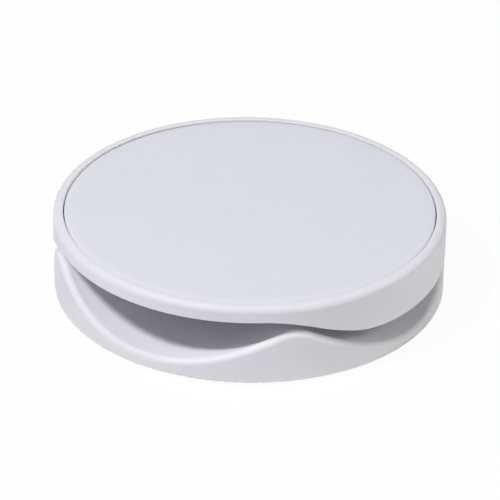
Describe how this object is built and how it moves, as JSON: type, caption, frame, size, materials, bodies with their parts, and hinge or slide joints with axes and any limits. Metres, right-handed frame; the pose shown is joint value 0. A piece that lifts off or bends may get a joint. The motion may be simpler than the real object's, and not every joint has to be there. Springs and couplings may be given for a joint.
{
  "type": "collapsible phone grip and stand",
  "caption": "Round collapsible grip that sticks to the back of a phone and pulls out on folding links to make a finger grip or a stand, with a wavy parting line and finger scoops.",
  "frame": {"origin": "centre of the adhesive pad's lower face, which is the lowest face of the closed grip", "axes": "+Z out of the phone's back towards the cover disc, +Y through the finger gaps and along the hinge pins, +X across the links"},
  "size_m": [0.04, 0.04, 0.0089],
  "materials": {
    "shell_plastic": "white moulded plastic with a satin surface",
    "cover_plastic": "white flat disc with a smooth satin surface",
    "link_plastic": "white moulded plastic",
    "pin_steel": "drawn steel wire, cut and chamfered",
    "adhesive_foam": "grey acrylic foam tape"
  },
  "bodies": {
    "base": {"base_shell": "shell_plastic", "adhesive_pad": "adhesive_foam", "left_base_pin": "pin_steel", "right_base_pin": "pin_steel"},
    "left_lower": {"left_lower_link": "link_plastic", "left_knee_pin": "pin_steel"},
    "left_upper": {"left_upper_link": "link_plastic"},
    "top": {"top_shell": "shell_plastic", "cover_disc": "cover_plastic", "left_top_pin": "pin_steel", "right_top_pin": "pin_steel"},
    "right_lower": {"right_lower_link": "link_plastic", "right_knee_pin": "pin_steel"},
    "right_upper": {"right_upper_link": "link_plastic"}
  },
  "joints": [
    {"name": "fold", "type": "hinge", "parent": "base", "child": "left_lower", "pos_m": [-0.01107, 0, 0.00275], "axis": [0, -1, 0], "range_deg": [0, 58]},
    {"name": "left_knee", "type": "hinge", "parent": "left_lower", "child": "left_upper", "pos_m": [-0.0022, 0, 0.00425], "axis": [0, 1, 0], "range_deg": [0, 116]},
    {"name": "left_top", "type": "hinge", "parent": "left_upper", "child": "top", "pos_m": [-0.01107, 0, 0.00575], "axis": [0, -1, 0], "range_deg": [0, 58]},
    {"name": "right_base", "type": "hinge", "parent": "base", "child": "right_lower", "pos_m": [0.01107, 0, 0.00275], "axis": [0, 1, 0], "range_deg": [0, 58]},
    {"name": "right_knee", "type": "hinge", "parent": "right_lower", "child": "right_upper", "pos_m": [0.0022, 0, 0.00425], "axis": [0, -1, 0], "range_deg": [0, 116]}
  ],
  "couplings": [
    {"joint": "left_knee", "follows": "fold", "ratio": 2},
    {"joint": "left_top", "follows": "fold", "ratio": 1},
    {"joint": "right_base", "follows": "fold", "ratio": 1},
    {"joint": "right_knee", "follows": "fold", "ratio": 2}
  ]
}
